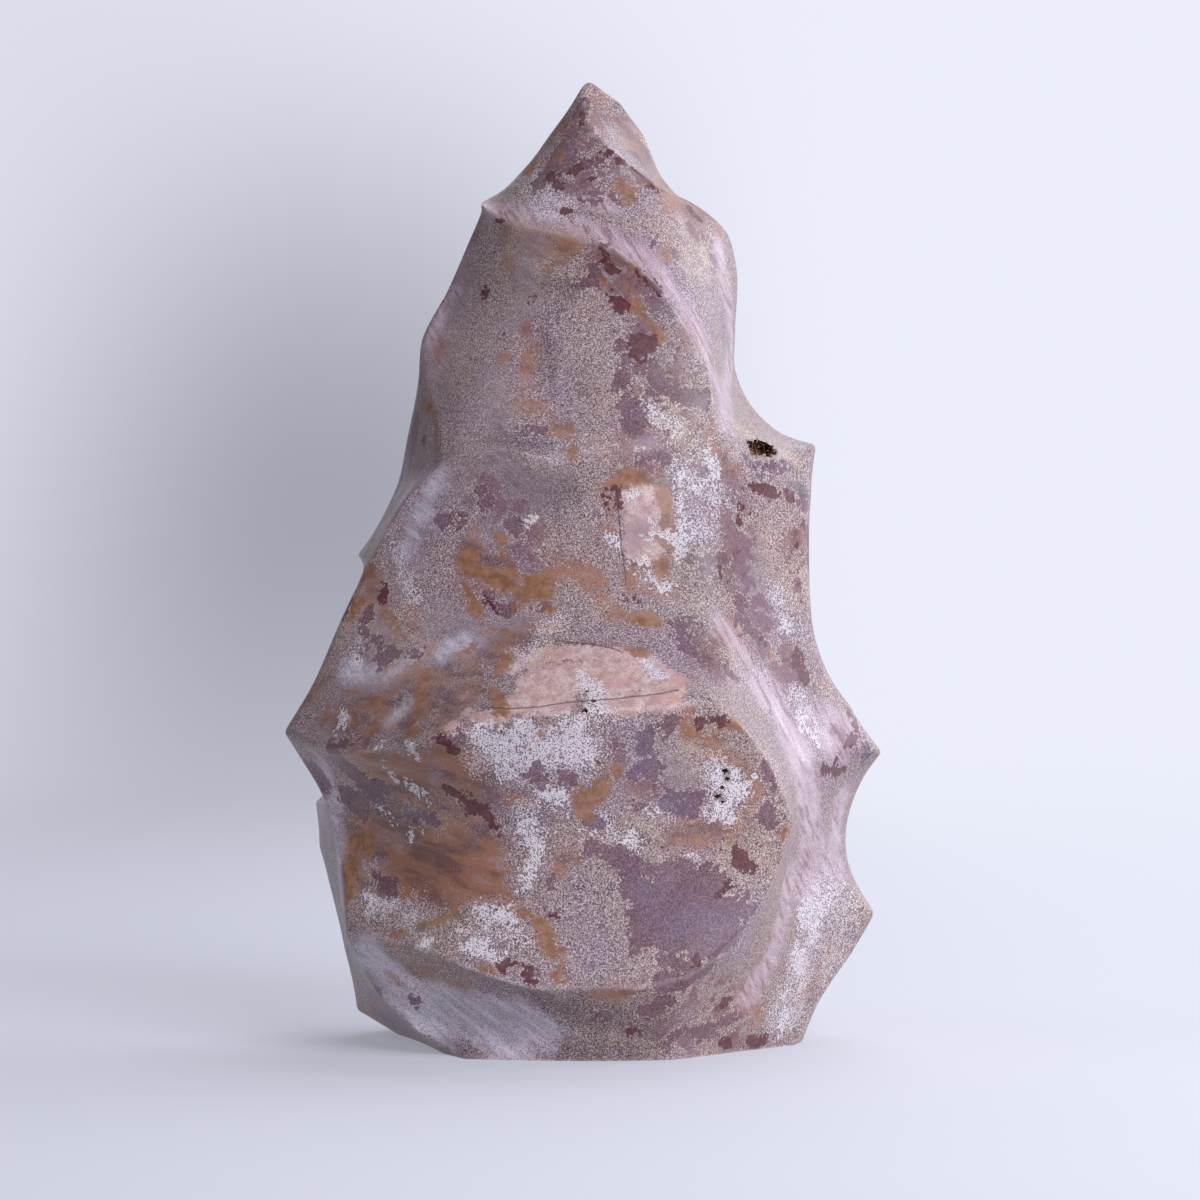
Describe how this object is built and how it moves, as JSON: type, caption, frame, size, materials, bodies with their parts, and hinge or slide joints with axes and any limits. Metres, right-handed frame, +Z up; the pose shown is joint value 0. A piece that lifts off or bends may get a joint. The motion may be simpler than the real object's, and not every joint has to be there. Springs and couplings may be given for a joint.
{
  "type": "ocean jasper flame carving",
  "caption": "Polished stone flame that stands on a flat cut base: twisting scooped hollows meet in crisp ridges and rise to an off-centre point.",
  "frame": {"origin": "the middle of the bounding box in X and Y, on the plane of the flat cut base", "axes": "+Z is up from the flat base to the point, +X is to the right of the pictured face and +Y is away from whoever looks at that face"},
  "size_m": [0.092, 0.0811, 0.15],
  "materials": {
    "jasper": "polished"
  },
  "bodies": {
    "root": {"stone": "jasper"}
  },
  "joints": []
}
